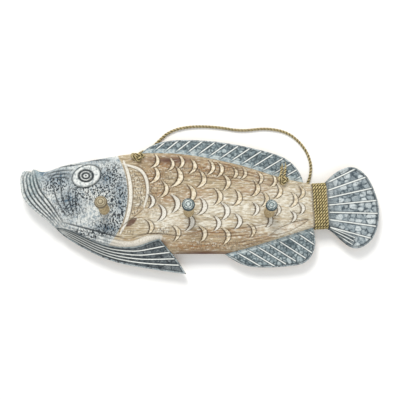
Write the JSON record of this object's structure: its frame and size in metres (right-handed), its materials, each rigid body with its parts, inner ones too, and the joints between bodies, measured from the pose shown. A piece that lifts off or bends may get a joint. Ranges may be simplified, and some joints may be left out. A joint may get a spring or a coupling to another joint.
{
  "type": "wall peg rack",
  "caption": "Carved and painted wooden fish wall rack with tilted round-headed pegs, separate fin boards, a tail bound on with seagrass cord and a slack hanging rope.",
  "frame": {"origin": "under the middle of the fish's bounding box, without the rope and its knots, on the plane of the flat back", "axes": "+X from the mouth to the tail, +Y to the dorsal side, +Z out of the carved face"},
  "size_m": [0.6004, 0.2513, 0.0886],
  "materials": {
    "carved_wood": "carved, white-washed and waxed matt",
    "painted_fin": "matt slate paint with pale rubbed rays",
    "painted_tail": "matt grey wash with dark cell lines",
    "peg_wood": "bare turned wood",
    "painted_knob": "satin dark teal paint with rubbed pale rings",
    "dowel_wood": "bare planed wood",
    "seagrass": "dry twisted grass cord"
  },
  "bodies": {
    "root": {"anal_fin": "painted_fin", "anal_fin_dowels": "dowel_wood", "body_plank": "carved_wood", "dorsal_fin": "painted_fin", "dorsal_fin_dowels": "dowel_wood", "front_knot": "seagrass", "front_peg_knob": "painted_knob", "front_peg_shank": "peg_wood", "hanging_rope": "seagrass", "middle_peg_knob": "painted_knob", "middle_peg_shank": "peg_wood", "pelvic_fin": "painted_fin", "pelvic_fin_dowels": "dowel_wood", "rear_knot": "seagrass", "rear_peg_knob": "painted_knob", "rear_peg_shank": "peg_wood", "tail_binding": "seagrass", "tail_fin": "painted_tail", "tail_pins": "dowel_wood"}
  },
  "joints": []
}
